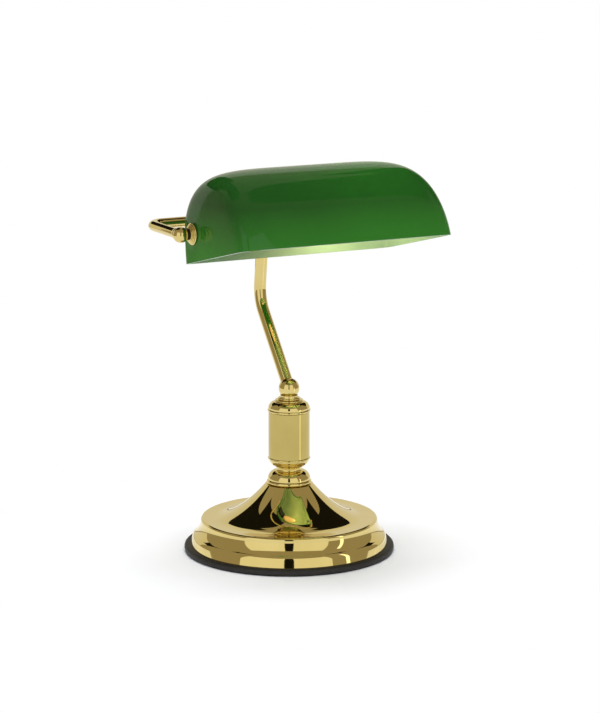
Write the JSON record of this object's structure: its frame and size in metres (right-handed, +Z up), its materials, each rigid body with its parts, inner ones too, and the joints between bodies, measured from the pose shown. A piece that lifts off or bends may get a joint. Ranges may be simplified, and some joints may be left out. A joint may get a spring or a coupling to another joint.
{
  "type": "banker desk lamp",
  "caption": "Desk lamp with a stepped round foot, turned column, bent arm and yoke, and a long half-round glass shade that tilts on two pivots over a small lampholder.",
  "frame": {"origin": "centre of the foot on the surface that it stands on", "axes": "+Z up; +X to the right along the shade and its tilt axis; the front edge of the shade faces -Y, and the arm leans back towards +Y"},
  "size_m": [0.2542, 0.2239, 0.3734],
  "materials": {
    "polished_brass": "mirror polished and lacquered",
    "satin_brass": "fine satin",
    "turned_brass": "turned",
    "green_glass": "glossy, green outside over white inside",
    "bulb_glass": "frosted, warm",
    "black_rubber": "matt",
    "felt": "felt",
    "steel": "zinc plated",
    "iron": "as cast",
    "black_plastic": "smooth",
    "white_plastic": "moulded",
    "fibre": "pressed fibre",
    "lead_sheath": "smooth sheath"
  },
  "bodies": {
    "stand": {"floor_pad": "felt", "rubber_rim": "black_rubber", "bottom_plate": "steel", "base_weight": "iron", "base_shell": "polished_brass", "cord_grommet": "black_rubber", "cord_clamp": "white_plastic", "clamp_screws": "steel", "terminal_block": "white_plastic", "stem_rod": "steel", "stem_nut": "steel", "stem_washer": "steel", "distance_tube": "steel", "foot_collar": "polished_brass", "column_cup": "polished_brass", "column_sleeve": "satin_brass", "column_cap": "polished_brass", "lower_cap_washer": "polished_brass", "upper_cap_washer": "polished_brass", "neck_collar": "polished_brass", "arm_ball": "polished_brass", "arm_tube": "polished_brass", "arm_tee": "polished_brass", "yoke_tube": "polished_brass", "pivot_ball_left": "polished_brass", "pivot_ball_right": "polished_brass", "pivot_nipple": "turned_brass", "pivot_pin": "turned_brass", "spacer_washers": "black_plastic", "stepped_collar_left": "polished_brass", "stepped_collar_right": "polished_brass", "friction_washers": "fibre", "inner_washers": "steel", "lock_nuts": "turned_brass", "inner_lead": "lead_sheath", "holder_cap": "black_plastic", "holder_body": "black_plastic", "holder_ring": "black_plastic", "holder_thread": "turned_brass", "holder_contact": "turned_brass", "bulb_cap": "turned_brass", "bulb_glass": "bulb_glass"},
    "shade": {"glass_shade": "green_glass", "glass_bush_left": "white_plastic", "glass_bush_right": "white_plastic"}
  },
  "joints": [
    {"name": "shade_tilt", "type": "hinge", "parent": "stand", "child": "shade", "pos_m": [0, -0.0183, 0.3146], "axis": [-1, 0, 0], "range_deg": [-45, 60]}
  ]
}
